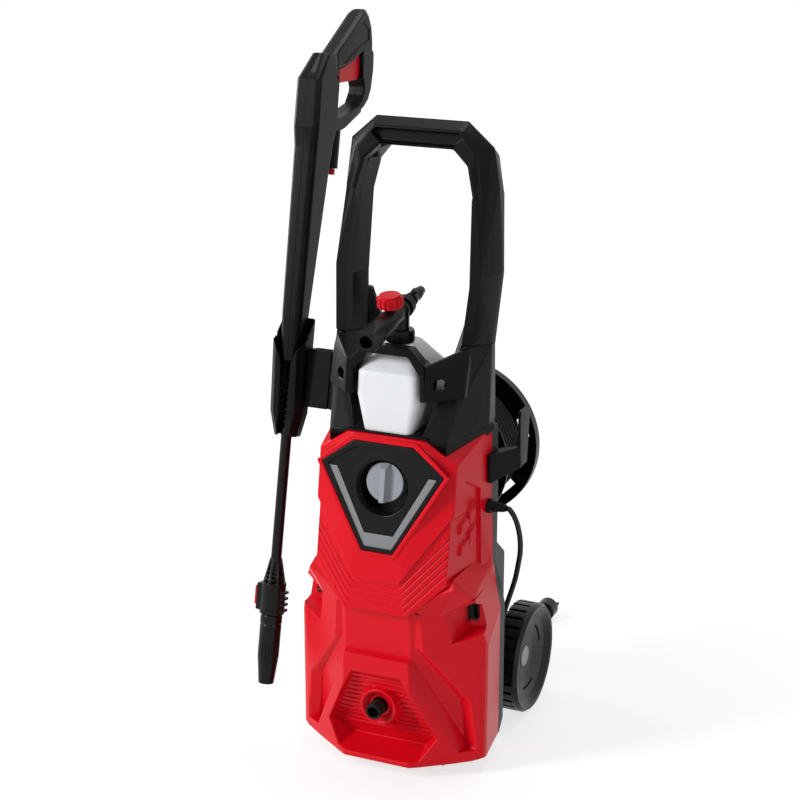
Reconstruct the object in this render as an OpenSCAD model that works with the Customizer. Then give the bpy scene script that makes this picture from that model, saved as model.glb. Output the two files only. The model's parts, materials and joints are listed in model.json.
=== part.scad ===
// Upright cold-water pressure washer with hose reel, foam set, gun and lance.
// X runs to the machine's left-hand side as seen by its user, the front faces -Y, Z is up.
// The origin lies on the floor, under the middle of the front foot bar.

/* [Body] */
// Half the body's width at the seam of its two shells
body_hw = 115; // [112:1:120]
// Extra half width of the lower body
hip_w = 13; // [10:1:15]
// Height of the body's top
body_top = 481; // [475:1:487]
// Y of the seam between the front and rear shells
seam_y = 70; // [66:1:76]
// Y of the body's front face, below the panel
front_y = -66; // [-70:1:-62]
// Backward lean of the upper front face, degrees
face_lean = 9.8; // [8:0.2:11]
// Wall of the moulded shells
wall = 3; // [2.5:0.25:3.5]
// Depth of the fields between the raised front blocks
field_d = 5; // [3:0.5:6]
// Clearance between pieces that lie beside each other
gap = 0.3; // [0.2:0.05:0.4]

/* [Wheels] */
// Wheel radius
wheel_r = 80.3; // [76:0.5:84]
// Wheel width over the tread
wheel_w = 37; // [32:1:38]
// X of the wheels' outer rims
wheel_out_x = 133.6; // [131:0.5:140]
// Y of the axle
axle_y = 204; // [200:1:210]
// Axle diameter
axle_d = 10; // [8:0.5:12]
// Radial running clearance of the wheels on the axle
axle_fit = 0.08; // [0.05:0.01:0.1]

/* [Handle] */
// Height of the carrying handle's top
handle_top = 880; // [870:1:890]
// Height of the joint between the handle and its base
handle_foot = 600; // [595:1:605]
// Backward lean of the handle, degrees
handle_lean = 9.5; // [8:0.25:11]
// Depth of the handle's legs
leg_d = 52; // [46:1:58]
// Depth of the handle's front half shell
leg_front_d = 16; // [12:1:20]

/* [Lance] */
// X of the gun and lance
gun_x = -185; // [-188:1:-182]
// Backward lean of the gun and lance, degrees
gun_lean = 12.8; // [12.8:0.1:13.2]
// Lance pipe diameter
pipe_d = 15; // [13:0.5:16]
// Bore of the lance pipe
pipe_bore = 8; // [6:0.5:10]
// Travel of the gun out of its holder
gun_lift = 150; // [120:5:170]

/* [Reel] */
// Radius of the reel's rear flange
reel_r = 117; // [110:1:119]
// Height of the reel's axis
reel_z = 392; // [388:1:400]
// Radius of the reel's drum
drum_r = 76; // [72:1:80]
// Diameter of the pressure hose
hose_d = 9.6; // [9:0.1:9.8]
// Turns in the hose's outer layer
hose_turns = 7; // [5:1:7]

/* [Foam set] */
// Half width of the foam bottle
bottle_hw = 45; // [40:0.5:45.5]
// Height of the bottle's shoulder above its tray
bottle_h = 114; // [108:1:115]
// Radius of the red dosing knob
dose_r = 17.5; // [15:0.5:19]

/* [Cord] */
// Diameter of the mains cord
cord_d = 7.5; // [7:0.1:7.8]
// Turns side by side in one layer of the stored coil
coil_turns = 4; // [3:1:4]

/* [Hidden] */
$fn = 48;

red = [0.86, 0.08, 0.12];
black = [0.10, 0.10, 0.11];
grey = [0.29, 0.30, 0.32];
silver = [0.60, 0.61, 0.62];
steel = [0.70, 0.71, 0.73];
far = 400;          // reach of cutting and bounding solids

// ---------------------------------------------------------------- helpers
module slab_x(x0, x1) translate([x0, 0, 0]) rotate([90, 0, 90]) linear_extrude(x1 - x0) children();
module slab_y(y0, y1) translate([0, y1, 0]) rotate([90, 0, 0]) linear_extrude(y1 - y0) children();
module slab_z(z0, z1) translate([0, 0, z0]) linear_extrude(z1 - z0) children();
module both_sides() {
    children();
    mirror([1, 0, 0]) children();
}
module rod_x(x0, x1, r) translate([x0, 0, 0]) rotate([0, 90, 0]) cylinder(h = x1 - x0, r = r);
module rod_y(y0, y1, r) translate([0, y0, 0]) rotate([-90, 0, 0]) cylinder(h = y1 - y0, r = r);
module rod_z(z0, z1, r) translate([0, 0, z0]) cylinder(h = z1 - z0, r = r);
function mirrored(half) = concat(half, [for (i = [len(half) - 1:-1:0]) [-half[i][0], half[i][1]]]);

// ---------------------------------------------------------------- body form
face_y = -61;       // Y and Z of the point that the leaning upper face turns about
face_z = 321;
waist_z = 300;      // height where the leaning face meets the upright one
shell_bottom = 19;
hip_hw = body_hw + hip_w;

// Half outlines seen from above, grown by g, the upper one measured from the leaning face
function upper_half(g) = [[46, -g], [body_hw - 16 + g, 15 - g / 2], [body_hw + g, 131], [body_hw + g, far]];
function lower_half(g) = [[48, front_y - g], [hip_hw + 1 + g / 2, front_y + 52.65 - g],
    [hip_hw + 8 + g, front_y + 58 - g / 2], [hip_hw + 9.5 + g, front_y + 66], [hip_hw + g, seam_y], [hip_hw + g, far]];

module upper_prism(g) translate([0, face_y, face_z]) rotate([-face_lean, 0, 0])
    translate([0, 0, -far]) linear_extrude(2 * far) polygon(mirrored(upper_half(g)));
module lower_prism(g) slab_z(shell_bottom - 3, waist_z + 60) polygon(mirrored(lower_half(g)));
// The fields between the raised blocks lean inwards a little towards the floor
module field_prism(g) translate([0, front_y - 1, 250]) rotate([3.5, 0, 0])
    translate([0, 1 - front_y, -250]) slab_z(-20, 330) polygon(mirrored(lower_half(g)));

// The body's front outline below, with its bevelled lower corners
module bottom_outline(g) polygon(mirrored([[62, shell_bottom - 1.5 - g], [104 + g, 19 - g], [122 + g, 20.5 - g],
    [hip_hw + 8 + g, 24 - g], [hip_hw + far, 24 - g], [hip_hw + far, body_top + g]]));

// The sloping shoulders: everything above a plane through three corners of the body's top
module shoulder_cut(g) translate([47, -32 , body_top + 3]) rotate([0, 39, -28.9])
    translate([-far / 2, -far / 2, g]) cube([far, far, far]);

// Raised blocks beside the waist: outline in their own slanted plane, along it from its inner end, and up
block_turn = atan2(52.65, hip_hw - 47);
block_bevel = 1.1;
function block_pts(g) = [[15 - g, 260], [16.7 - g, 247], [22.2 - g, 188.7], [86.2 - g, 111.5 - g / 2], [95.1 - g, 45.6],
    [95 - g, -20], [180, -20], [180, 300]];
module block_space(g) translate([48, front_y, 0]) rotate([0, 0, block_turn]) {
    spread(block_pts(g), 200, 100, -g - 1, 12, block_bevel);
    slab_y(12, 200) translate([200, 100]) polygon([for (q = block_pts(g)) block_bevel * (q - [200, 100])]);
}
// The flanks lean inwards above this plane
module lean_cut(g) translate([hip_hw + 3, 40, 211]) rotate([0, -11.6, 3.4])
    translate([g, -far, -far]) cube(2 * far);
// The raised frame round the lower recess, seen from the front
function frame_pts(g) = mirrored([[44.3 + g / 2, 170 + g], [65.4 + g, 105], [86.4 + g, 44], [92 + g, -40]]);
recess_pts = mirrored([[37.5, 151.5], [89.8, 56.5], [64, 23.5]]);
// Slab that follows a front outline and spreads by k towards the back, about (cx, cz)
module spread(pts, cx, cz, y0, y1, k) translate([cx, y1, cz]) rotate([90, 0, 0])
    linear_extrude(y1 - y0, scale = 1 / k) polygon([for (q = pts) [k * (q[0] - cx), k * (q[1] - cz)]]);

// Brow over each block: a ledge above, a slanting face that overhangs the block below it
module brow(g) hull() for (q = [[50 - g, -60 - g, 262 + g], [54.5 - g, -62 - g, 255.6], [60, -57 - g, 245],
    [101, -38 - g, 296 + g], [105 + g, -48 - g, 285 + g], [84, -42.6, 242], [122 + g, -18 - g, 264],
    [body_hw - 4.5 + g, 37, 290 + g], [body_hw - 9, 40, 298 + g], [body_hw - 0.5 + g, seam_y, 286 + g],
    [body_hw - 0.5 + g, seam_y + 30, 286 + g],
    [body_hw + 5 + g, seam_y, 256], [body_hw + 5 + g, seam_y + 30, 256], [body_hw - 5, seam_y, 236], [60, seam_y, 256]])
    translate(q) cube(0.1, center = true);

module body_form(g) difference() {
    union() {
        // waist and flanks, down to the brows
        intersection() {
            upper_prism(g - step_d);
            slab_y(-far, far) polygon(mirrored([[46, 244], [101, 294], [far, 296], [far, body_top + g]]));
        }
        // raised plateau that carries the panel, with a draught on its lower edge
        intersection() {
            upper_prism(g);
            spread(mirrored([[33, 290 - g], [100, 392 - g], [240, 392 - g], [240, 620]]), 0, 500,
                front_y - 12, 0, 1.06);
            slab_z(200, body_top + g) square(4 * far, center = true);
            translate([0, -body_hw + 34, 0]) slab_z(200, 600) square([4 * far, 2 * body_hw], center = true);
        }
        // raised strips beside the seam
        intersection() {
            upper_prism(g);
            slab_z(260, body_top + g) square(4 * far, center = true);
            slab_x(-far, far) polygon([[37 - g, 200], [37 - g, 400], [-6, 425], [-6, 600], [far, 600], [far, 200]]);
        }
        intersection() {
            field_prism(g - field_d);
            slab_y(-far, far) polygon(mirrored([[far, 0], [far, 110], [118, 150], [116, 236], [100, 262], [46, 252]]));
        }
        intersection() {
            lower_prism(g);
            union() {
                spread(frame_pts(g), 0, 80, front_y - 12, 0, 1.35);
                both_sides() difference() {
                    intersection() {
                        block_space(g);
                        slab_y(-far, far) polygon([[46, -20], [46, 244], [62, 246], [122, 262], [200, 262], [200, -20]]);
                    }
                    lean_cut(g);
                }
            }
        }
        if (g > -1) both_sides() brow(g);
        // rim that closes the fields above the body's lower edge
        intersection() {
            lower_prism(g);
            slab_z(-9, 36 + g) square(4 * far, center = true);
        }
    }
    both_sides() shoulder_cut(g);
    difference() {
        slab_z(-1, 120) square(4 * far, center = true);
        slab_y(-far, far) bottom_outline(g);
    }
}
step_d = 4;         // depth of the flanks behind the raised plateau and strips

module front_space(y0, y1) slab_y(y0, y1) translate([-far, -far / 2]) square([2 * far, 4 * far]);

// ---------------------------------------------------------------- control panel
// Panel outlines in the leaning face: x and height above the face's turning point
panel_half = [[22, 6], [88, 119], [43, 152]];
panel_in_half = [[20, 12], [79, 117], [41, 143]];
well_up = 93;       // height of the knob's well in the face
knob_up = 99;       // height of the knob's axis in the face
well_r = 38;
knob_r = 26.5;
knob_h = 24;
panel_t = 5;
panel_clear = 0.4;
module on_face() translate([0, face_y, face_z]) rotate([-face_lean, 0, 0]) children();
// Outline in the leaning face, from depth d0 behind the face to depth d1 in front
module face_plate(d0, d1) on_face() slab_y(-d1, -d0) children();
module panel_outline(g) polygon(mirrored([[panel_half[0][0] + g / 2, panel_half[0][1] - g],
    [panel_half[1][0] + g, panel_half[1][1]], [panel_half[2][0] + g / 2, panel_half[2][1] + g]]));

// ---------------------------------------------------------------- lower recess and inlet
inlet_z = 98;
inlet_r = 11.4;
inlet_bore = 7.6;
boss_r = 26;
boss_y = -59;       // front of the inlet's boss
recess_lean = 18;   // slope of the ribbed floor of the recess
// Everything in front of the recess's floor, less d
module before_floor(d) difference() {
    front_space(-far, seam_y);
    translate([0, front_y + 8, 150]) rotate([recess_lean, 0, 0])
        translate([-far, d, -far]) cube([2 * far, far, 2 * far]);
}
module recess(g) intersection() {
    spread([for (q = recess_pts) [q[0] * (1 + g / 60), 80 + (q[1] - 80) * (1 + g / 60)]], 0, 80,
        front_y - 12, -10, 0.8);
    before_floor(g);
}
// Hand scoop in the block's corner, grown by g
module scoop(g) hull() {
    for (q = [[84 - g, -58, 242 + g], [91 - g, -54, 193 - g], [hip_hw + 12, 0, 214 - g], [hip_hw + 8, -40, 266 + g],
        [108 - g, 4 + g, 250 + g], [110 - g, 4 + g, 214 - g], [hip_hw + 10, 6 + g, 246 + g], [hip_hw + 12, 8 + g, 216 - g]])
        translate(q) cube(0.2, center = true);
}

module front_shell() color(red) difference() {
    union() {
        difference() {
            intersection() {
                body_form(0);
                front_space(-far, seam_y);
            }
            body_form(-wall);
            slab_z(-1, shell_bottom - 1.5) square(4 * far, center = true);
        }
        // walls of the recess and of the scoops
        intersection() {
            body_form(0);
            recess(wall);
        }
        both_sides() intersection() {
            body_form(0);
            union() {
                scoop(wall);
                slab_z(227 - wall, 245 + wall) polygon([[108, 0], [130, 0], [130, 17], [108, 17]]);
            }
        }
        // rim that stands up round the panel
        intersection() {
            face_plate(-3, 2.2) difference() {
                panel_outline(7);
                panel_outline(panel_clear);
            }
            front_space(-far, seam_y);
        }
        // slanted ribs on the flanks
        both_sides() for (row = [0, 30], k = [0, 1]) intersection() {
            upper_prism(0);
            slab_x(60, far) polygon([for (q = k == 0 ? [[0, 0], [22, 6], [22, 18], [3, 13]] : [[0, -1], [15, 7], [16, 24], [-1, 16]])
                [q[0] + k * 25 - 16, q[1] + 321 + row + k * 8]]);
        }
    }
    difference() {
        recess(0);
        // ribs on the recess's floor
        translate([0, front_y + 8, 150]) rotate([recess_lean, 0, 0]) for (k = [1:12])
            translate([-80, -1.8, -k * 8.4 - 3]) cube([160, 10, 3.4]);
        // boss round the inlet
        translate([0, boss_y, inlet_z]) rotate([-90, 0, 0]) cylinder(h = 40, r1 = boss_r, r2 = boss_r + 12);
    }
    for (k = [0:4]) face_groove(k * 8.6);
    // seat of the control panel
    face_plate(-40, far) panel_outline(panel_clear);
    // funnel and bore of the inlet's boss
    translate([0, boss_y - 0.1, inlet_z]) rotate([-90, 0, 0]) cylinder(h = 8, r1 = boss_r - 3, r2 = inlet_r + 4);
    translate([0, 0, inlet_z]) rod_y(front_y, seam_y, inlet_r + gap);
    // scoops, each with a sunk pocket in its rear wall
    both_sides() scoop(0);
    both_sides() slab_z(227, 245) polygon([[113, -4], [121, -4], [120, 13], [114, 13]]);
    // opening for the cable gland
    translate([0, gland_y, gland_z]) rod_x(body_hw - 30, body_hw + 20, gland_r + gap);
    well_axis() rod_y(-10, 60, well_r + 6);
}

// One groove of the V below the panel, moved down by d
module face_groove(d) intersection() {
    difference() {
        body_form(1);
        body_form(-0.9);
    }
    slab_y(-far, seam_y - 40) {
        for (m = [0, 1]) mirror([m, 0]) {
            polygon([[0, 281 - d], [34 + d / 5, 281 - d], [body_hw - 20, 351 - d * 1.35],
                [body_hw - 20, 352.6 - d * 1.35], [33 + d / 5, 282.6 - d], [0, 282.6 - d]]);
        }
    }
}

module well_axis() on_face() translate([0, 0, well_up]) children();
module knob_axis() on_face() translate([0, 0, knob_up]) children();

module control_panel() color(black) difference() {
    union() {
        face_plate(-panel_t, 1.4) panel_outline(0);
        well_axis() rod_y(0, 36, well_r + 2.5);
    }
    // stepped inner field
    face_plate(-1.6, far) polygon(mirrored(panel_in_half));
    // well: a flared mouth over a straight bore
    well_axis() rod_y(-far, 33.5, well_r - 4);
    well_axis() rotate([-90, 0, 0]) translate([0, 0, -2]) cylinder(h = 14, r1 = well_r + 1.5, r2 = well_r - 4);
    knob_axis() rod_y(0, 60, switch_r + 2);
    // seat of the trim
    trim_solid(0.15, 3.2);
}

// The V of silver trim, grown by g, from just proud of the field to depth d
module trim_solid(g, d) face_plate(-d, -0.6) difference() {
    polygon(mirrored([[23.4 + g, 11 - g], [79 + g, 114 + g], [66 - g, 114 + g], [21 - g, 30 + g]]));
    polygon(mirrored([[20.5 - g, 30.2 + g], [65.5 - g, 114.2 + g], [40, 160]]));
}
module panel_trim() color(silver) trim_solid(0, 3);

// ---------------------------------------------------------------- switch
switch_r = 4;
module switch_knob() color(silver) knob_axis() difference() {
    union() {
        rod_y(11, 11 + knob_h - 4, knob_r);
        // pointer ridge across the face
        intersection() {
            rod_y(0, 12, knob_r);
            hull() {
                translate([-3.5, 2, -knob_r]) cube([7, 1, 2 * knob_r - 8]);
                translate([-7, 11, -knob_r]) cube([14, 1, 2 * knob_r]);
            }
        }
    }
    rod_y(18, 40, switch_r + 0.06);
}
module rotary_switch() color(black) knob_axis() {
    rod_y(18.5, 38, switch_r);
    difference() {
        translate([-21, 36 + gap, -24]) cube([42, 36 - gap, 48]);
        for (k = [-1, 1]) translate([k * 14, 66, 0]) cube([5, 13, 30], center = true);
    }
}

// ---------------------------------------------------------------- rear shell, base and feet
rear_y = 138;       // back of the upper rear shell
tail_y = 186;       // back of the lower rear shell
inner_hw = 90;      // half width between the wheels
strip_y = 88;       // back end of the full-width part
module rear_outer(g) {
    intersection() {
        union() {
            upper_prism(g);
            slab_y(seam_y - 2, far) polygon(mirrored([[body_hw - 0.5 + g, 286 + g], [body_hw + 5 + g, 256],
                [hip_hw + g, 217], [hip_hw + g, 0]]));
        }
        slab_x(-far, far) polygon([[seam_y - 1, 18 - g], [seam_y, 18 - g], [strip_y + g, 40 - g], [strip_y + g, 2 * far],
            [seam_y - 1, 2 * far]]);
        slab_z(22 - g, body_top - 4 + g) square(4 * far, center = true);
    }
    hull() {
        slab_z(22 - g, 250) translate([-inner_hw - g, seam_y]) square([2 * (inner_hw + g), tail_y - seam_y + g]);
        slab_z(250, 290 + g) translate([-inner_hw - g, seam_y]) square([2 * (inner_hw + g), rear_y - seam_y + g]);
    }
    slab_z(200, body_top - 10 + g) translate([-inner_hw - g, seam_y])
        square([2 * (inner_hw + g), rear_y - seam_y + g]);
}
module rear_shell() color(grey) difference() {
    rear_outer(0);
    difference() {
        rear_outer(-wall);
        // hub plate that carries the reel's spindle
        translate([0, 0, reel_z]) rod_y(rear_y - 12, rear_y, 30);
    }
    both_sides() shoulder_cut(0);
    slab_z(body_top - 16, body_top + 60) translate([-far, seam_y + 24]) square([2 * far, far]);
    front_space(-far, seam_y);
    // cooling slots in the back
    for (k = [0:6]) translate([-50, rear_y - 20, 216 + k * 9]) cube([100, 90, 4]);
    // bore of the spindle and slots of the axle's ears
    translate([0, 0, reel_z]) rod_y(seam_y, far, spindle_r + 0.15);
    both_sides() slab_x(ear_x - gap, ear_x + ear_w + gap) intersection() {
        polygon(ear_pts(gap));
        translate([tail_y - 10, 0]) square([40, far]);
    }
}

ear_x = inner_hw - 22;
ear_w = 16;
// Side outline of the ears that carry the axle, grown by g
function ear_pts(g) = [[tail_y - 60, 26], [tail_y - 14, 42 - g], [tail_y + 2, 42 - g], [axle_y + 14, 60],
    [axle_y + 14, wheel_r + 12], [axle_y + 6, wheel_r + 18 + g], [tail_y - 60, wheel_r + 18 + g]];
pan_floor = 29;
module base_pan() color(black) {
    difference() {
        union() {
            intersection() {
                slab_z(shell_bottom, 44) square(4 * far, center = true);
                union() {
                    intersection() {
                        body_form(-wall - gap);
                        front_space(-far, seam_y);
                    }
                    intersection() {
                        rear_outer(-wall - gap);
                        front_space(seam_y, far);
                    }
                }
            }
            both_sides() slab_x(ear_x, ear_x + ear_w) polygon(ear_pts(0));
        }
        // hollow from above, clear of the recess's wall
        slab_z(pan_floor, 60) polygon(mirrored([[46, front_y + 32], [96, front_y + 78],
            [96, strip_y - 12], [60, strip_y - 12], [60, tail_y - 12]]));
        recess(wall + gap);
        translate([0, axle_y, wheel_r]) rod_x(-far, far, axle_d / 2 + 0.05);
    }
    // pillars under the pump
    for (y = [motor_y - 26, motor_y + 14]) translate([-30, y, pan_floor - 1]) cube([60, 14, pump_z - pan_floor + 1]);
}

foot_hw = 80;
foot_d = 24;
module front_foot() color(black) {
    hull() {
        slab_z(0, 1) translate([-foot_hw + 2, -foot_d / 2 + 2]) square([2 * foot_hw - 4, foot_d - 4]);
        slab_z(3, shell_bottom - 1.5 - gap) translate([-foot_hw, -foot_d / 2]) square([2 * foot_hw, foot_d]);
    }
}

module axle() color(steel) translate([0, axle_y, wheel_r]) {
    rod_x(-wheel_out_x + 21.2, wheel_out_x - 21.2, axle_d / 2);
}

hub_r = 15;
module wheel() difference() {
    translate([0, axle_y, wheel_r]) rotate([0, 90, 0]) difference() {
        // tread, dish and hub as one moulding
        rotate_extrude($fn = 96) polygon([[axle_d / 2 + axle_fit, wheel_out_x - wheel_w],
            [22, wheel_out_x - wheel_w], [24, wheel_out_x - 24], [60, wheel_out_x - 14],
            [66, wheel_out_x - wheel_w + 2], [76, wheel_out_x - wheel_w], [wheel_r - 2, wheel_out_x - wheel_w],
            [wheel_r, wheel_out_x - wheel_w + 3], [wheel_r, wheel_out_x - 5], [wheel_r - 4, wheel_out_x],
            [wheel_r - 9, wheel_out_x - 1], [60, wheel_out_x - 8], [30, wheel_out_x - 15.5],
            [hub_r + 1, wheel_out_x - 17], [hub_r + 1, wheel_out_x - 21], [axle_d / 2 + axle_fit, wheel_out_x - 21]]);
        // tread grooves across the rim
        for (a = [0:12:359]) rotate([0, 0, a]) translate([wheel_r - 4, -2.6, wheel_out_x - wheel_w - 1])
            cube([8, 5.2, wheel_w - 8]);
        // crescent slots through the dish
        for (a = [0, 120, 240]) rotate([0, 0, a]) intersection() {
            difference() {
                rod_z(wheel_out_x - 40, wheel_out_x, 49);
                rod_z(wheel_out_x - 41, wheel_out_x + 1, 45.5);
            }
            translate([0, 0, wheel_out_x - 41]) rotate([0, 0, -24]) linear_extrude(50)
                polygon([[0, 0], [80, 0], [80 * cos(48), 80 * sin(48)]]);
        }
    }
}
module wheel_left() color(black) mirror([1, 0, 0]) wheel();
module wheel_right() color(black) wheel();
module hub_cap() color(silver) translate([0, axle_y, wheel_r]) rotate([0, 90, 0]) rotate_extrude()
    polygon([[0, wheel_out_x - 21 + gap], [hub_r + 1 - gap, wheel_out_x - 21 + gap], [hub_r + 1 - gap, wheel_out_x - 16],
        [hub_r - 1.5, wheel_out_x - 14.6], [0, wheel_out_x - 14]]);
module hub_cap_left() mirror([1, 0, 0]) hub_cap();
module hub_cap_right() hub_cap();

// ---------------------------------------------------------------- inside the body
motor_r = 46;
motor_y = 40;       // Y of the upright motor and pump axis
motor_z = 160;
motor_h = 120;
pump_z = 84;
pipe_y = motor_y + motor_r + 11;   // Y of the riser behind the motor
module motor() color(steel) translate([0, motor_y, 0]) difference() {
    union() {
        rod_z(motor_z, motor_z + motor_h, motor_r);
        rod_z(motor_z + motor_h, motor_z + motor_h + 12, motor_r - 8);
        rod_z(motor_z - 8, motor_z, motor_r + 4);
        for (a = [0:30:359]) rotate([0, 0, a]) translate([motor_r - 1, -1.5, motor_z + 8]) cube([5, 3, motor_h - 20]);
    }
    rod_z(motor_z + motor_h - 20, motor_z + motor_h + 20, 6.06);
}
module motor_fan() color(grey) translate([0, motor_y, 0]) {
    rod_z(motor_z + motor_h - 19.5, motor_z + motor_h + 30, 6);
    difference() {
        union() {
            rod_z(motor_z + motor_h + 14, motor_z + motor_h + 17, motor_r - 2);
            rod_z(motor_z + motor_h + 14, motor_z + motor_h + 28, 12);
            for (a = [0:45:359]) rotate([0, 0, a]) translate([10, -1, motor_z + motor_h + 14])
                cube([motor_r - 14, 2, 14]);
        }
        rod_z(motor_z + motor_h, motor_z + motor_h + 60, 5.9);
    }
}
module pump_body() color(silver) translate([0, motor_y, 0]) difference() {
    union() {
        rod_z(pump_z + 34, motor_z - 8, motor_r - 4);
        rod_z(pump_z + 26, pump_z + 34, motor_r + 2);
    }
    for (a = [0:60:359]) rotate([0, 0, a]) translate([motor_r - 3, 0, 0]) rod_z(pump_z, pump_z + 60, 2.5);
}
module pump_head() color(steel) difference() {
    translate([0, motor_y, 0]) union() {
        rod_z(pump_z, pump_z + 26, motor_r - 2);
        translate([-16, -motor_r - 12, pump_z + 2]) cube([32, 20, 24]);
        translate([-16, motor_r - 20, pump_z + 2]) cube([32, pipe_y + 10 - motor_y - motor_r + 20, 22]);
    }
    translate([0, pipe_y, pump_z + 13]) rod_z(0, 40, pipe_in_r + 0.1);
}
cap_r = 17;
cap_at = (motor_r + cap_r + gap) * [cos(165), sin(165)];
module capacitor() color(silver) translate([cap_at[0], motor_y + cap_at[1], motor_z]) union() {
    rod_z(2, 80, cap_r - 0.4);
    rod_z(80, 83, cap_r);
    for (x = [-5, 5]) translate([x - 3, -0.4, 83]) cube([6, 0.8, 9]);
}
module water_inlet() color(black) translate([0, 0, inlet_z]) difference() {
    union() {
        rod_y(front_y - 9, motor_y - motor_r - 12, inlet_r - 1);
        for (k = [0:3]) rod_y(front_y - 7 + k * 3.6, front_y - 5.2 + k * 3.6, inlet_r);
        rod_y(front_y + 34, motor_y - motor_r - 12, inlet_r + 4);
    }
    rod_y(-far, front_y + 20, inlet_bore);
    rod_y(front_y, front_y + 30, inlet_bore - 1.4);
}
module inlet_filter() color(steel) translate([0, 0, inlet_z]) {
    rod_y(front_y + 27, front_y + 30, inlet_bore - 1.5);
    rotate([-90, 0, 0]) translate([0, 0, front_y + 20.4]) cylinder(h = 7, r1 = 3, r2 = inlet_bore - 2);
}
pipe_in_r = 5;
module outlet_pipe() color(steel) {
    translate([0, pipe_y, 0]) rod_z(pump_z + 13, reel_z - 0.01, pipe_in_r);
    translate([0, pipe_y, reel_z]) {
        sphere(r = pipe_in_r + 1);
        rod_y(0, rear_y - 5 - pipe_y, pipe_in_r);
    }
}

// ---------------------------------------------------------------- handle
handle_y = 25.6;    // Y of the handle's front face at its foot
leg_hw = 96;        // half width over the front face at the foot
bar_w = 24;         // height of the top bar's front face
hw_top = (handle_top - handle_foot) / cos(handle_lean) - 10;
module on_handle() translate([0, handle_y, handle_foot]) rotate([-handle_lean, 0, 0]) children();
// Stations up the hoop: outer and inner corner of the front face, as x and length along the handle
front_out = [[leg_hw + 1, 0], [leg_hw + 7, 88], [leg_hw - 1, 200], [leg_hw - 11, hw_top - 30], [62, hw_top], [0, hw_top]];
front_in = [[leg_hw - 12.5, 0], [leg_hw - 7.5, 75], [leg_hw - 13, 190], [leg_hw - 23, hw_top - 44],
    [52, hw_top - bar_w], [0, hw_top - bar_w]];
// The flanks spread to these corners at the depths that follow, then run back
side_out = [[leg_hw + 15, 0], [leg_hw + 20, 95], [leg_hw + 12, 205], [leg_hw + 5, hw_top - 18], [65, hw_top + 13],
    [0, hw_top + 13]];
side_d = [40, 40, 34, 22, 17, 17];
back_out = [[leg_hw + 15, 0], [leg_hw + 20, 95], [leg_hw + 12, 200], [leg_hw + 2, hw_top - 28], [56, hw_top + 4],
    [0, hw_top + 4]];
back_in = [[leg_hw - 23, 0], [leg_hw - 18, 80], [leg_hw - 18, 190], [leg_hw - 26, hw_top - 45], [51, hw_top - bar_w + 4],
    [0, hw_top - bar_w + 4]];
function station(i) = [[front_out[i][0], 0, front_out[i][1]], [front_in[i][0], 0, front_in[i][1]],
    [side_out[i][0], side_d[i], side_out[i][1]], [back_out[i][0], leg_d, back_out[i][1]],
    [back_in[i][0], leg_d, back_in[i][1]]];
module hoop_form() both_sides() for (i = [0:4]) hull() for (q = concat(station(i), station(i + 1)))
    translate(q) cube(0.1, center = true);
module handle_front() color(black) on_handle() difference() {
    intersection() {
        hoop_form();
        translate([-far, -1, 0]) cube([2 * far, leg_front_d + 1, far]);
    }
    // finger groove in the top bar
    slab_y(-1, 10) polygon(mirrored([[58, hw_top - 3], [64, hw_top - 9], [52, hw_top - 20]]));
}
module handle_rear() color(black) on_handle() difference() {
    intersection() {
        hoop_form();
        translate([-far, leg_front_d, 0]) cube([2 * far, far, far]);
    }
    // open back of the legs, with cross ribs left standing
    both_sides() for (k = [0:5]) slab_y(leg_front_d + 12, leg_d + 1)
        polygon([[leg_hw - 9, 8 + k * 30], [leg_hw + 8, 8 + k * 30], [leg_hw + 7, 35 + k * 30], [leg_hw - 9, 35 + k * 30]]);
}

// ---------------------------------------------------------------- handle base
tray_z = body_top + 3;
hoop_y = -33;       // front of the hoop round the bottle
hoop_d = 26;
hoop_lean = 6;
hoop_out = [[57, 534], [53, 580], [31, 603]];
hoop_in = [[48.5, 534], [47, 566], [29, 590]];
module base_leg() hull() {
    // foot on the body's shoulder
    slab_z(body_top - 6, body_top - 2) polygon([[48, -26], [84, -24], [110, 60], [104, 100], [62, 100], [56, 10]]);
    // root of the handle's leg
    translate([0, handle_y, handle_foot]) rotate([-handle_lean, 0, 0]) slab_z(-3, 0)
        polygon([[leg_hw - 12.5, 0], [leg_hw, 0], [leg_hw + 15, side_d[0]], [leg_hw + 15, leg_d], [leg_hw - 23, leg_d]]);
}
module handle_base() color(black) difference() {
    union() {
        both_sides() base_leg();
        // skirt of the feet on the sloping shoulders
        both_sides() hull() {
            slab_z(body_top - 10, body_top) polygon([[48, -27], [80, -24], [108, 60], [60, 60], [52, 10]]);
            translate([83, -25, 459]) cube([0.5, 0.5, 20]);
            translate([112, 62, 470]) cube([0.5, 36, 10]);
        }
        // gussets behind the roots of the handle's legs
        both_sides() hull() {
            slab_z(560, 562) polygon([[46, 92], [60, 74], [96, 74], [96, 108], [50, 108]]);
            slab_z(644, 646) polygon([[74, 90], [80, 86.6], [86, 87], [86, 100], [76, 100]]);
        }
        // tray floor
        slab_z(body_top + gap, tray_z) translate([-58, -30]) square([116, 128]);
        // arms from the hoop to the legs
        both_sides() arm();
        // hoop
        translate([0, hoop_y, 0]) hoop_band();
        // block on the leg for the lance holder's arm
        on_gun() slab_z(486, 567) translate([hold_hw - 1 + arm_l + gap, -1]) square([37, 27]);
    }
    // nothing reaches into the body
    intersection() {
        body_form(gap);
        front_space(-far, seam_y + 60);
    }
    intersection() {
        rear_outer(gap);
        front_space(seam_y - 1, far);
    }
    // room for the bottle and its way out to the back
    slab_y(hoop_y - 1, 240) polygon(mirrored([[bottle_hw + 2, tray_z], [hoop_in[0][0], 534], hoop_in[1], hoop_in[2]]));
    slab_y(hoop_y + hoop_d + 2, 240) polygon(mirrored([[bottle_hw + 2, tray_z], [bottle_hw + 2, 700]]));
}
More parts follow.
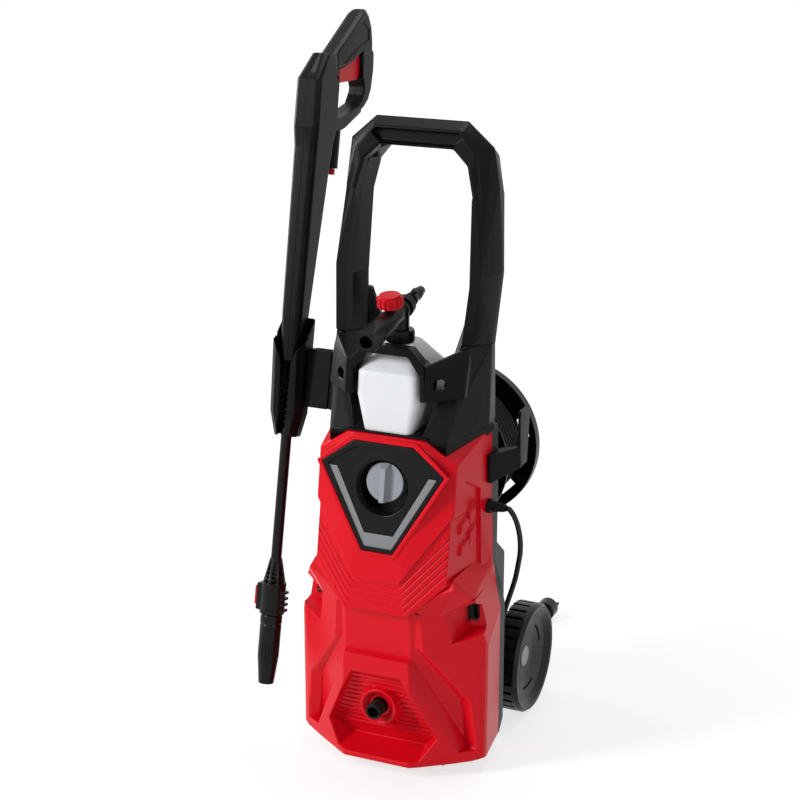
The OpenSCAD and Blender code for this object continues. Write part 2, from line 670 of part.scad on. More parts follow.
module hoop_band() difference() {
    translate([0, 0, 534]) rotate([-hoop_lean, 0, 0]) translate([0, 0, -534]) difference() {
        slab_y(0, hoop_d) polygon(mirrored(hoop_out));
        slab_y(-1, hoop_d + 1) polygon(mirrored([[hoop_in[0][0], 520], [hoop_in[0][0], 534], hoop_in[1], hoop_in[2]]));
    }
}
arm_l = 35;
module arm() difference() {
    hull() {
        slab_z(534, 536) polygon([[52, hoop_y + 4], [57, hoop_y], [97, 4], [97, 14]]);
        slab_z(578, 580) polygon([[52, hoop_y + 8], [56, hoop_y + 5], [97, 18], [97, 28]]);
        slab_z(594, 596) polygon([[90, 24], [96, 26], [96, 34], [90, 34]]);
    }
    // cut-out in the arm
    slab_y(-60, 60) polygon([[64, 549], [76, 549], [78, 556], [73, 563], [64, 561]]);
}

// ---------------------------------------------------------------- foam set
bottle_y0 = -29;    // front of the bottle
bottle_y1 = 76;     // back of the bottle
neck_y = 18;
neck_r = 13.5;
knob_y = -30;       // dosing knob, before the neck
foam_z = 640;       // height of the foam gun's axis over the neck
foam_lean = 8;      // rise of the foam gun towards the back, degrees
module on_foam() translate([0, neck_y, foam_z]) rotate([foam_lean, 0, 0]) children();
bottle_top = tray_z + bottle_h;
module bottle_slab(z, hw, y0, y1, r) hull() for (x = [-1, 1], y = [y0 + r, y1 - r])
    translate([x * (hw - r), y, z]) cylinder(h = 0.5, r = r, $fn = 32);
module foam_bottle() color([0.93, 0.94, 0.95]) difference() {
    union() {
        hull() {
            bottle_slab(tray_z + gap, bottle_hw - 11, bottle_y0 + 1, bottle_y1 - 12, 8);
            bottle_slab(tray_z + 48, bottle_hw, bottle_y0, bottle_y1, 12);
            bottle_slab(tray_z + 80, bottle_hw - 1.5, bottle_y0 + 1, bottle_y1, 12);
            bottle_slab(bottle_top - 1, bottle_hw - 23, bottle_y0 + 37, bottle_y1 - 30, 10);
        }
        translate([0, neck_y, 0]) rod_z(bottle_top - 8, bottle_top + 12, neck_r);
    }
    translate([0, neck_y, 0]) rod_z(tray_z + 4, bottle_top + 20, neck_r - 2.5);
}
module bottle_collar() color(black) translate([0, neck_y, 0]) difference() {
    union() {
        rod_z(bottle_top - 0.2, bottle_top + 16, neck_r + 4.5);
        for (a = [0:20:359]) rotate([0, 0, a]) translate([neck_r + 4, -1, bottle_top + 1]) cube([1.6, 2, 13]);
    }
    rod_z(bottle_top - 1, bottle_top + 13, neck_r + gap);
    rod_z(bottle_top - 1, bottle_top + 30, neck_r - 2);
}
collar_top = bottle_top + 16;
horn_r = 15.5;
horn_y0 = -110;
module foam_body() color(black) difference() {
    union() {
        // upright stem over the collar
        translate([0, neck_y, 0]) rod_z(collar_top, foam_z, 12);
        on_foam() {
            sphere(r = 13);
            // through pipe, ribbed nut and inlet bayonet
            rod_y(knob_y + 10, 26, 10.5);
            for (k = [0:2]) rod_y(8 + k * 5, 11 + k * 5, 15 - k * 0.6);
            rod_y(26, 62, 7.5);
            rod_y(34, 38, 9.5);
            for (k = [0, 1]) rotate([0, k * 180 + 20, 0]) translate([-4, 38, 5]) cube([8, 8, 8]);
            rod_y(62, 70, 6);
            // seat of the dosing knob
            rod_y(knob_y - 10, knob_y + 14, 13);
            translate([0, knob_y, 0]) rod_z(0, horn_r + 1, 7);
        }
    }
    on_foam() {
        rod_y(40, 90, 3.5);
        for (y = [47, 54]) ring_cut(y, 5.9, 7.6);
    }
}
module ring_cut(y, r0, r1) difference() {
    rod_y(y, y + 2.6, r1 + 1);
    rod_y(y - 1, y + 3.6, r0);
}
module foam_rings() color(black) on_foam() for (y = [47, 54])
    rotate([-90, 0, 0]) rotate_extrude() translate([7.1, y + 1.3]) circle(r = 1.15, $fn = 16);
module foam_horn() color(black) on_foam() difference() {
    hull() {
        rotate([90, 0, 0]) translate([0, 0, -knob_y + 10.3]) cylinder(h = 2, r = horn_r - 1, $fn = 32);
        rotate([90, 0, 0]) translate([0, 0, -horn_y0 - 30]) cylinder(h = 2, r = horn_r, $fn = 32);
        translate([-11, horn_y0, -12]) cube([22, 2, 24]);
    }
    rod_y(horn_y0 - 1, horn_y0 + 26, 8.5);
    rod_y(horn_y0 + 20, knob_y, 3);
}
module foam_knob() color(red) on_foam() translate([0, knob_y, horn_r + 1 + gap]) union() {
    rod_z(0, 14, dose_r - 2);
    rod_z(14, 16.5, dose_r - 4);
    for (a = [0:24:359]) rotate([0, 0, a]) translate([dose_r - 2.3, 0, 0]) rod_z(1, 13.2, 2.3);
}

// ---------------------------------------------------------------- gun and lance
// Local frame: z runs up the lance's axis, y points to the back, x = 0 is the gun's middle plane
gun_y = -53;        // Y where the axis meets the floor plane
module on_gun() translate([gun_x, gun_y, 0]) rotate([-gun_lean, 0, 0]) children();
seat_s = 547;       // lower end of the gun's shroud, where it sits in the holder
band_s0 = 842;
band_s1 = 868;
// Eight-cornered section of the barrel: half width, front and back, corner cut
function oct(hw, y0, y1, c) = mirrored([[hw - c, y0], [hw, y0 + c], [hw, y1 - c], [hw - c, y1]]);
module oct_slab(s, hw, y0, y1, c) translate([0, 0, s]) linear_extrude(0.2) polygon(oct(hw, y0, y1, c));
module barrel() {
    hull() {
        oct_slab(seat_s, 12, -16, 13, 5);
        oct_slab(hold_s1 + 2, 15.5, -20, 14, 6);
    }
    hull() {
        oct_slab(hold_s1 + 2, 15.5, -20, 14, 6);
        oct_slab(band_s0, 17.5, -21, 40, 6);
    }
    hull() {
        oct_slab(band_s0, 17.5, -21, 40, 6);
        oct_slab(band_s1, 19.5, -24, 44, 6);
    }
    hull() {
        oct_slab(band_s1, 19.5, -24, 44, 6);
        oct_slab(932, 18.5, -26, 44, 6);
        oct_slab(970, 13, 4, 44, 6);
    }
}
grip_hw = 13;
// Convex pieces of the grip's loop, and the same pieces drawn in a little
grip_pts = [[[20, 940], [20, 962], [48, 976], [106, 1034], [115, 1042], [126, 1044], [139, 1037], [151, 1022],
    [159, 1001], [162, 984], [119, 980]], [[119, 984], [160, 994], [164, 965], [161, 932], [153, 914], [140, 902],
    [124, 905], [122, 946]], [[140, 902], [100, 884], [82, 872], [70, 868], [30, 862], [30, 886], [70, 890], [134, 924]]];
grip_mid = [[92, 1003], [142, 948], [80, 885]];
finger_pts = [[38, 932], [128, 947], [135, 936], [134, 924], [126, 910], [70, 888], [38, 884]];
open_pts = [[37, 931], [40, 938], [119, 984], [127, 946]];
slot_pts = [[24, 926], [127, 942], [128, 1000], [104, 1018], [60, 988], [26, 956]];
tube_y = 64;        // the hose inlet lies parallel to the barrel
tube_s = 816;
tube_r = 12.5;
inlet_core_r = 6;
pivot = [33, 940];
trigger_t = 13;
module gun_form() difference() {
    union() {
        barrel();
        for (i = [0:2]) hull() {
            slab_x(-7, 7) polygon(grip_pts[i]);
            slab_x(-grip_hw, grip_hw) polygon([for (q = grip_pts[i]) q * 0.82 + grip_mid[i] * 0.18]);
        }
        translate([0, tube_y, 0]) rod_z(tube_s, 884, tube_r);
        slab_x(-8, 8) polygon([[30, tube_s + 24], [tube_y, tube_s + 10], [tube_y, 880], [30, 880]]);
    }
    // finger gap and the trigger's opening
    slab_x(-far, far) polygon(finger_pts);
    slab_x(-far, far) polygon(open_pts);
    slab_x(-trigger_t / 2 - 0.6, trigger_t / 2 + 0.6) polygon(slot_pts);
    // way for the water: inlet bore, valve chamber, lance socket
    translate([0, tube_y, 0]) rod_z(tube_s - 1, 880, inlet_core_r + 0.1);
    rod_z(seat_s - 1, 840, lance_r + 0.1);
    rod_z(820, 905, valve_r + 0.1);
    // pivot
    translate([0, pivot[0], pivot[1]]) rod_x(-far, far, pin_r);
    // row of notches up the back of the shroud
    for (k = [0:23]) translate([-far, 0, 560 + k * 11]) rotate([5.6, 0, 0]) translate([0, 12 + k * 1.0, 0]) cube([2 * far, 20, 5]);
    // side pockets of the grip, the inset panels
    for (m = [0, 1]) mirror([m, 0, 0]) slab_x(grip_hw - 1.2, far)
        polygon([[56, 966], [112, 1024], [134, 1016], [136, 1002], [112, 992], [62, 962]]);
}
pin_r = 2.5;
valve_r = 10;
module gun_shell_left() color(black) on_gun() intersection() {
    gun_form();
    translate([-far, -far, 0]) cube([far, 2 * far, 3 * far]);
}
module gun_shell_right() color(black) on_gun() intersection() {
    gun_form();
    translate([0, -far, 0]) cube([far, 2 * far, 3 * far]);
}
module gun_valve() color([0.75, 0.62, 0.32]) on_gun() {
    rod_z(822, 880, valve_r);
    rod_z(880, 896, 5);
}
module gun_inlet_collar() color(red) on_gun() translate([0, tube_y, 0]) difference() {
    union() {
        rod_z(tube_s - 9, tube_s - gap, 9);
        rod_z(tube_s - 9, tube_s + 40, inlet_core_r);
    }
    rod_z(tube_s - 10, tube_s + 30, 4);
}
trigger_pts = [[25, 932], [42, 931], [119, 943.5], [125, 950], [126, 972], [119, 990], [106, 985], [42, 950], [29, 948]];
module trigger() color(red) on_gun() difference() {
    slab_x(-trigger_t / 2, trigger_t / 2) polygon(trigger_pts);
    translate([0, pivot[0], pivot[1]]) rod_x(-far, far, pin_r + 0.05);
    // pocket of the safety catch
    slab_x(-3.3, 3.3) translate(catch_pivot) polygon([[-18, -23], [-18, 4], [6, 9], [8, -13]]);
}
module trigger_pin() color(steel) on_gun() translate([0, pivot[0], pivot[1]]) rod_x(-grip_hw + 1, grip_hw - 1, pin_r);
catch_pivot = [99, 951.2];
module trigger_catch() color(red) on_gun() slab_x(-3, 3) translate(catch_pivot) union() {
    circle(r = 2.6, $fn = 24);
    polygon([[-14, -4.6], [0, -2.6], [0, 2.6], [-14, -1]]);
}
neck_s = 443;
lance_r = 5.5;
module lance_neck() color(black) on_gun() {
    rod_z(neck_s, neck_s + 9, 8.4);
    rod_z(neck_s + 9, seat_s + 60, lance_r);
    translate([3, -7, neck_s]) cube([4.5, 8, seat_s - neck_s - 2]);
    for (s = [neck_s + 17:9:seat_s - 8]) rod_z(s, s + 2.4, 7.6);
}
pipe_s = 262;
module lance_pipe() color(black) on_gun() difference() {
    rod_z(pipe_s - 14, neck_s, pipe_d / 2);
    rod_z(pipe_s - 20, neck_s - 8, pipe_bore / 2);
}
cone_s = 231;
house_s = 189;
sleeve_s = 176;
tip_s = 88;
module nozzle_head() color(black) on_gun() difference() {
    union() {
        rod_z(cone_s, pipe_s + 6, 8.6);
        // cone of stepped ribs
        for (k = [0:4]) rod_z(cone_s + k * 6, cone_s + k * 6 + 2.4, 17 - k * 1.9);
        for (a = [0:45:179]) rotate([0, 0, a]) slab_x(-2, 2)
            polygon([[-16.6, cone_s], [16.6, cone_s], [8.6, pipe_s + 5], [-8.6, pipe_s + 5]]);
        // housing
        rod_z(house_s, cone_s + 2, 17.5);
        translate([-22, -9, house_s + 4]) cube([20, 18, 38]);
        rod_z(sleeve_s - 10, house_s, 12);
        for (k = [0:3]) translate([10, -8, house_s + 4 + k * 8.5]) cube([10.5, 16, 4]);
    }
    rod_z(pipe_s - 14, far, pipe_d / 2 + 0.02);
    rod_z(0, pipe_s, 3);
    // window of the button
    translate([-far, -6.3, house_s + 9.7]) cube([far - 14.5, 12.6, 27.6]);
}
module nozzle_button() color(red) on_gun() translate([-23.4, -6, house_s + 10]) cube([5, 12, 27]);
module nozzle_sleeve() color(black) on_gun() difference() {
    rotate_extrude() polygon([[12.3, sleeve_s - 10], [12.3, house_s - gap], [14, house_s - gap], [15.5, house_s - 3],
        [15.5, sleeve_s], [14.6, sleeve_s - 1.5], [15.2, sleeve_s - 4], [15, 128], [11, tip_s + 1], [10, tip_s],
        [5, tip_s], [4, tip_s + 14], [4, sleeve_s - 10.3], [12.3, sleeve_s - 10.3]]);
    for (a = [0:20:359]) rotate([0, 0, a]) translate([14.2, -0.6, tip_s + 12]) cube([3, 1.2, 50]);
}

// ---------------------------------------------------------------- lance holder
hold_s0 = 442;
hold_s1 = 607;
hold_t = 3.2;
hold_hw = 25;
// Closed section of the holder at height s, drawn in by g: the front runs steeper than the lance
function holder_front(s) = -27 + 14 * (hold_s1 - s) / (hold_s1 - hold_s0);
module holder_slab(s, hw, g) translate([0, 0, s]) linear_extrude(0.2) polygon(mirrored([[hw - 9 - g * 0.6,
    holder_front(s) + g], [hw - g, holder_front(s) + 9], [hw - g, 10], [hw - 8 - g * 0.6, 18 - g]]));
module holder_form(g) hull() {
    holder_slab(hold_s0 - (g > 0 ? 1 : 0), 17, g);
    holder_slab(hold_s0 + 34, hold_hw, g);
    holder_slab(hold_s1 + (g > 0 ? 1 : 0), hold_hw, g);
}
module lance_holder() color(black) on_gun() difference() {
    union() {
        difference() {
            holder_form(0);
            holder_form(hold_t);
        }
        // ledge under the gun's shroud
        intersection() {
            holder_form(1);
            slab_z(seat_s - 6, seat_s - gap) difference() {
                square(100, center = true);
                translate([0, -20]) square([18, 40], center = true);
                circle(r = 9);
            }
        }
        // arm towards the handle
        slab_z(486, 567) difference() {
            translate([hold_hw - 1, -1]) square([arm_l, 27]);
            translate([hold_hw + 4, 3]) square([arm_l - 9, 19]);
        }
        for (s = [486, 560]) slab_z(s, s + 3) translate([hold_hw - 1, -1]) square([arm_l, 27]);
    }
    // front opening: narrow below, widening in an S above the ledge
    slab_y(-far, -6) polygon(mirrored([[9.5, 0], [9.5, hold_s0 + 14], [7.5, 470], [7.5, 541], [9, 550], [13, 560],
        [20, 570], [24, 577], [26, 584], [26, 700]]));
    slab_x(-far, far) polygon([[-60, 577], [-12, 577], [12, 607], [-60, 660]]);
}

// ---------------------------------------------------------------- cord hook and gland
hook_x = 137;
module cord_hook() color(black) {
    difference() {
        hull() {
            translate([body_hw - 8, 54, 402]) cube([9, 26, 40]);
            translate([hook_x, 100, 412]) cube([4, 8, 30]);
        }
        upper_prism(gap);
        rear_outer(gap);
    }
    hull() {
        translate([hook_x, 99, 412]) cube([4, 30, 20]);
        translate([hook_x, 102, 484]) cube([4, 35, 8]);
        translate([hook_x, 99, 480]) cube([4, 20, 4]);
    }
}
gland_y = 59;
gland_z = 368;
gland_r = 7;
gland_out = 25;
module cable_gland() color(black) {
    translate([body_hw - 12, gland_y, gland_z]) rotate([0, 90, 0]) {
        rod_z(0, 16, gland_r);
        translate([0, 0, 15]) cylinder(h = gland_out - 6, r1 = gland_r, r2 = cord_d / 2 + 1.2);
        for (k = [0:3]) rod_z(17 + k * 4, 18.8 + k * 4, gland_r + 0.6 - k * 0.5);
    }
    // collar on the flank
    difference() {
        translate([0, gland_y, gland_z]) rod_x(body_hw - 10, body_hw + 2, gland_r + 3);
        upper_prism(gap);
    }
}

// ---------------------------------------------------------------- hose reel
spindle_r = 11;
reel_y0 = rear_y + 12;
reel_y1 = 249;
module reel_spindle() color(steel) translate([0, 0, reel_z]) difference() {
    union() {
        rod_y(rear_y - 13, reel_y1 + 2, spindle_r);
        rod_y(rear_y, rear_y + 5, 26);
    }
    rod_y(rear_y - 14, rear_y + 40, pipe_in_r + 0.1);
}
module reel_drum() color(black) translate([0, 0, reel_z]) difference() {
    union() {
        // hub, web, drum wall, front disc and rear flange with its rim
        rotate([-90, 0, 0]) rotate_extrude($fn = 96) polygon([[spindle_r + 0.08, reel_y0], [spindle_r + 5, reel_y0],
            [spindle_r + 5, reel_y1 - 5], [drum_r - 3.5, reel_y1 - 5], [drum_r - 3.5, reel_y0],
            [reel_r - 12, reel_y0], [reel_r - 12, reel_y0 + 3], [drum_r, reel_y0 + 3], [drum_r, reel_y1 - 3.5],
            [reel_r - 3, reel_y1 - 3.5], [reel_r - 3, reel_y1 - 14], [reel_r, reel_y1 - 14], [reel_r, reel_y1],
            [spindle_r + 0.08, reel_y1]]);
        // spokes behind the hose
        for (a = [0:30:359]) rotate([0, a, 0]) translate([-1.2, reel_y1 - 9, drum_r - 1])
            cube([2.4, 7, reel_r - drum_r - 0.5]);
    }
    // slots in the rear flange and holes in the web
    for (a = [15:60:359]) rotate([0, a, 0]) translate([-14, reel_y1 - 20, drum_r + 12]) cube([28, 40, 14]);
    for (a = [0:60:359]) rotate([0, a, 0]) translate([0, 0, 46]) rod_y(reel_y1 - 20, reel_y1 + 5, 12);
}
module reel_crank() color(black) translate([0, 0, reel_z]) difference() {
    union() {
        rod_y(reel_y1 + 0.2, reel_y1 + 12, 24);
        hull() {
            rod_y(reel_y1 + 4, reel_y1 + 12, 16, $fn = 32);
            translate([0, 0, -84]) rod_y(reel_y1 + 4, reel_y1 + 12, 13, $fn = 32);
        }
        translate([0, 0, -84]) rod_y(reel_y1 + 10, reel_y1 + 44, 5);
    }
    rod_y(reel_y1 - 1, reel_y1 + 2 + gap, spindle_r + gap);
}
module crank_knob() color(black) translate([0, 0, reel_z - 84]) difference() {
    rotate([-90, 0, 0]) rotate_extrude() polygon([[5.05, reel_y1 + 12.4], [11, reel_y1 + 12.4], [12.5, reel_y1 + 16],
        [10.5, reel_y1 + 30], [12.5, reel_y1 + 42], [10.5, reel_y1 + 46], [0, reel_y1 + 46.5], [0, reel_y1 + 44.5],
        [5.05, reel_y1 + 44.5]]);
}

// Sweep of a ring of n corners and radius r along a list of points
function unit(v) = v / norm(v);
function tangent(p, i) = unit(p[min(i + 1, len(p) - 1)] - p[max(i - 1, 0)]);
function carried(v, t) = unit(v - (v * t) * t);
function frames(p, i, v) = i >= len(p) ? [] :
    let (t = tangent(p, i), u = carried(v, t)) concat([[u, cross(t, u)]], frames(p, i + 1, u));
module tube(p, r, n, v0) {
    f = frames(p, 0, v0);
    m = len(p);
    pts = [for (i = [0:m - 1], k = [0:n - 1])
        p[i] + r * (cos(360 * k / n) * f[i][0] + sin(360 * k / n) * f[i][1])];
    walls = [for (i = [0:m - 2], k = [0:n - 1], h = [0, 1])
        let (a = i * n + k, b = i * n + (k + 1) % n) h == 0 ? [a, b + n, b] : [a, a + n, b + n]];
    caps = [for (k = [1:n - 2], e = [0, 1]) e == 0 ? [0, k, k + 1] :
        [(m - 1) * n, (m - 1) * n + k + 1, (m - 1) * n + k]];
    polyhedron(pts, concat(walls, caps));
}
// Least distance between points of a path that lie at least s steps apart along it
function least_gap(p, s) = min([for (i = [0:len(p) - 1 - s], j = [i + s:len(p) - 1]) norm(p[i] - p[j])]);

hose_pitch = hose_d + 1;
wind_r = drum_r + hose_d / 2 + 9.5;
wind_y0 = reel_y0 + 5 + hose_d / 2;
wind_rings = 24;
function wound(a) = [wind_r * sin(a), wind_y0 + hose_pitch * a / 360, reel_z + wind_r * cos(a)];
hose_path = concat([wound(0) - hose_d * [cos(0), hose_pitch / 360, 0]],
    [for (i = [0:wind_rings * hose_turns]) wound(i * 360 / wind_rings)],
    [wound(360 * hose_turns) + hose_d * [cos(0), hose_pitch / 360, 0]]);
module hose_winding() color(grey) {
    tube(hose_path, hose_d / 2, 6, [0, 1, 0]);
    // inner layers as a plain core
    translate([0, 0, reel_z]) difference() {
        rod_y(wind_y0 - hose_d / 2 + 0.4, wind_y0 + hose_pitch * hose_turns + hose_d / 2 - 0.4,
            wind_r - hose_d / 2 - gap);
        rod_y(reel_y0 - 1, reel_y1, drum_r + gap);
    }
}
hose_end = hose_path[len(hose_path) - 1];
module hose_fitting() color(steel) translate([hose_end[0], hose_end[1], hose_end[2]]) rotate([0, 90, 0])
    translate([0, 0, 0.1]) union() {
        rod_z(0, 10, 4.9);
        rod_z(10, 18, 5.4);
        rod_z(18, 24, 4.6);
    }

// ---------------------------------------------------------------- fasteners
module handle_screws() color(steel) on_handle() both_sides() for (k = [0, 2, 5])
    translate([leg_hw - 3, 0, 21.5 + k * 30]) rod_y(leg_front_d + 12, leg_front_d + 14.2, 3);
module shell_screws() color(steel) both_sides() for (z = [31, 190, 420])
    translate([inner_hw - 14, 0, z]) rod_y((z > 250 ? rear_y : tail_y) + 0.01, (z > 250 ? rear_y : tail_y) + 2, 3.5);

// ---------------------------------------------------------------- mains cord
// Free route: out of the gland, down behind the flank, under the body to the coil behind it
cord_route = [[body_hw + 22, gland_y, gland_z], [body_hw + 26, gland_y, gland_z], [146, 63, 359], [149, 69, 346], [150, 77, 329], [149, 86, 309],
    [146, 94, 289], [141, 101, 269], [136, 106, 248], [130, 109, 228], [123, 111, 206], [116, 113, 182],
    [109, 114, 156], [105, 114, 128], [103, 114, 100], [102, 113, 72], [101, 113, 48], [97, 116, 27],
    [90, 124, 12], [80, 136, 5], [70, 152, 4], [62, 174, 4], [58, 200, 4], [56, 230, 4], [54, 262, 4],
    [51, 290, 4], [46, 316, 4], [41, 340, 4], [38.5, 360, 4], [38, 374, 4], [38, 384.5, 4]];
module power_cord() color(black) tube(cord_route, cord_d / 2, 8, [0, 0, 1]);

coil_step = cord_d + 0.6;
coil_r0 = 28;
coil_r1 = coil_r0 + coil_step * coil_turns;
coil_at = [38 - coil_r1, 392];
plug_r = 16;
plug_z = plug_r + 0.3;
coil_layers = 4;
coil_rings = 24;
coil_end = coil_turns * coil_layers;
// Spiral in, climb in the half turn where it reverses, spiral out, and so on
function coil_u(turn) = let (l = floor(turn / coil_turns), f = turn - l * coil_turns)
    l % 2 == 0 ? coil_r1 - coil_step * f : coil_r0 + coil_step * f;
function coil_layer(turn) = let (l = round(turn / coil_turns), d = turn - l * coil_turns)
    l == 0 || l == coil_layers || abs(d) > 0.25 ? floor(turn / coil_turns) : l - 1 + (d + 0.25) * 2;
coil_z0 = cord_d / 2 + 0.25;
coil_top = coil_z0 + coil_step * (coil_layers - 1);
coil_path = concat([[38, coil_at[1] - cord_d, coil_z0]],
    [for (i = [0:coil_rings * coil_end]) let (t = min(i / coil_rings, coil_end - 0.001), a = 360 * t)
        [coil_at[0] + coil_u(t) * cos(a), coil_at[1] + coil_u(t) * sin(a), coil_z0 + coil_step * coil_layer(t)]],
    [[38, coil_at[1] + 10, coil_top], [38, coil_at[1] + 22, coil_top], [39.5, coil_at[1] + 34, coil_top - 0.5],
    [42, coil_at[1] + 46, coil_top - 3.5], [45, coil_at[1] + 57, 20.5], [47, coil_at[1] + 67, 17],
    [48, coil_at[1] + 76, plug_z], [48, coil_at[1] + 86, plug_z]]);
module cord_coil() color(black) {
    echo(coil_gap = least_gap(coil_path, coil_rings / 2) - cord_d, hose_gap = hose_pitch - hose_d);
    tube(coil_path, cord_d / 2, 6, [0, 0, 1]);
}
plug_at = coil_path[len(coil_path) - 1];
module plug() color(black) translate(plug_at) union() {
    rotate([-90, 0, 0]) {
        cylinder(h = 14, r1 = cord_d / 2 + 0.8, r2 = 8);
        translate([0, 0, 14]) cylinder(h = 22, r = plug_r);
        for (x = [-9.5, 9.5]) translate([x, 0, 36]) cylinder(h = 18, r = 2.4);
    }
}

// ---------------------------------------------------------------- drawing
front_shell();
rear_shell();
base_pan();
front_foot();
control_panel();
panel_trim();
switch_knob();
rotary_switch();
motor();
motor_fan();
pump_body();
pump_head();
capacitor();
water_inlet();
inlet_filter();
outlet_pipe();
handle_front();
handle_rear();
handle_base();
handle_screws();
foam_bottle();
bottle_collar();
foam_body();
foam_horn();
foam_knob();
foam_rings();
gun_shell_left();
gun_shell_right();
gun_valve();
gun_inlet_collar();
trigger();
trigger_pin();
trigger_catch();
lance_neck();
lance_pipe();
nozzle_head();
nozzle_button();
nozzle_sleeve();
lance_holder();
cord_hook();
cable_gland();
axle();
wheel_left();
wheel_right();
hub_cap_left();
hub_cap_right();
reel_spindle();
reel_drum();
hose_winding();
reel_crank();
crank_knob();
hose_fitting();
shell_screws();
power_cord();
cord_coil();
plug();
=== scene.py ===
import json
import math
import bmesh
import bpy
import numpy as np
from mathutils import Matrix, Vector
from mathutils.bvhtree import BVHTree

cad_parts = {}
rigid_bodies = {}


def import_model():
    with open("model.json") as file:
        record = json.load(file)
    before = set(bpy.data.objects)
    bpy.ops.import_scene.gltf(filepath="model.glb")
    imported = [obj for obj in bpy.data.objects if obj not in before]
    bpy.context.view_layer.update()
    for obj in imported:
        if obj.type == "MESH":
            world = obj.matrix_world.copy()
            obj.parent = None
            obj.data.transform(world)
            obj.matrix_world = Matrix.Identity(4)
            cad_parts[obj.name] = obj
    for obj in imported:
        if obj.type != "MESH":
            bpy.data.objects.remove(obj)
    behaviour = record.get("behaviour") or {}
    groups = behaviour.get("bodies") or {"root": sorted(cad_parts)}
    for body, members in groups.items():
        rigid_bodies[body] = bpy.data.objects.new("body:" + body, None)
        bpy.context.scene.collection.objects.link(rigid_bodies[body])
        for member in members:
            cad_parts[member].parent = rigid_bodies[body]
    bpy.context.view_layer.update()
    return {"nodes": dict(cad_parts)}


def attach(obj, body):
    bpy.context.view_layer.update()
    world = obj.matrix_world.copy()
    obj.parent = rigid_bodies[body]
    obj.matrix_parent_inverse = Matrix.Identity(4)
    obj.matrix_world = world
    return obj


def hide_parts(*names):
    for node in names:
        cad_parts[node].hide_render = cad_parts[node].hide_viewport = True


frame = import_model()
nodes = frame["nodes"]
scene = bpy.context.scene
scene.view_settings.view_transform = "Standard"


def linked(name, data):
    piece = bpy.data.objects.new(name, data)
    scene.collection.objects.link(piece)
    return piece


def turnedTo(direction):
    # the turn that points -z along the direction, with y upwards
    return Vector(direction).to_track_quat("-Z", "Y").to_euler()


# camera, in front of the machine, above it and towards +x
cameraSize = dict(
    at=(0.9386, -2.1315, 1.2899),
    looks=(-0.3802, 0.8702, -0.3135),
    focal=1859.3,  # in pixels
    picture=800,   # pixels across
    sensor=36,     # in millimetres
)
cameraData = bpy.data.cameras.new("camera")
cameraData.sensor_width = cameraSize["sensor"]
cameraData.lens = cameraSize["focal"] / cameraSize["picture"] * cameraSize["sensor"]
cameraObject = linked("camera", cameraData)
cameraObject.location = cameraSize["at"]
cameraObject.rotation_euler = turnedTo(cameraSize["looks"])
scene.camera = cameraObject


# meshes from arrays
def meshFrom(name, points, faces, smooth=True):
    data = bpy.data.meshes.new(name)
    data.from_pydata(np.asarray(points, float).tolist(), [], faces)
    if smooth:
        data.shade_smooth()
    data.update()
    return linked(name, data)


def smoothLine(points, step, parts):
    # Catmull-Rom arcs through the points, each of so many parts, then walked along in equal steps
    p = np.asarray(points, float)
    p = np.vstack([2 * p[0] - p[1], p, 2 * p[-1] - p[-2]])
    t = np.linspace(0, 1, parts, endpoint=False)[None, :, None]
    a, b, c, d = (p[i:len(p) - 3 + i, None, :] for i in range(4))
    fine = 0.5 * (2 * b + (c - a) * t
                  + (2 * a - 5 * b + 4 * c - d) * t ** 2
                  + (3 * b - a - 3 * c + d) * t ** 3)
    fine = np.vstack([fine.reshape(-1, 3), p[-2]])
    run = np.concatenate([[0], np.cumsum(np.linalg.norm(np.diff(fine, axis=0), axis=1))])
    at = np.linspace(0, run[-1], max(2, int(round(run[-1] / step)) + 1))
    return np.stack([np.interp(at, run, fine[:, k]) for k in range(3)], 1)


def lineFrames(line, first):
    # unit tangents of the line, and two normals turned as little as possible from ring to ring
    t = np.gradient(line, axis=0)
    t /= np.linalg.norm(t, axis=1)[:, None]
    u = np.zeros_like(line)
    side = np.asarray(first, float)
    for i in range(len(line)):
        side = side - (side @ t[i]) * t[i]
        side /= np.linalg.norm(side)
        u[i] = side
    return t, u, np.cross(t, u)


def tubeFaces(rings, sides):
    # quads between each ring of points and the next, the last side joined to the first, and two ends
    ring = np.arange(rings - 1)[:, None] * sides
    one = np.arange(sides)[None, :]
    other = (one + 1) % sides
    quads = np.stack([ring + one, ring + other, ring + sides + other, ring + sides + one], -1)
    last = rings * sides
    ends = [list(range(sides - 1, -1, -1)), list(range(last - sides, last))]
    return quads.reshape(-1, 4).tolist() + ends


def tube(name, line, radius, sides, first):
    # a circle of the radius carried along the line: point + radius x (cos a x normal + sin a x other normal)
    t, u, v = lineFrames(line, first)
    a = np.arange(sides) * 2 * math.pi / sides
    ring = np.cos(a)[None, :, None] * u[:, None, :] + np.sin(a)[None, :, None] * v[:, None, :]
    points = (line[:, None, :] + radius * ring).reshape(-1, 3)
    return meshFrom(name, points, tubeFaces(len(line), sides))


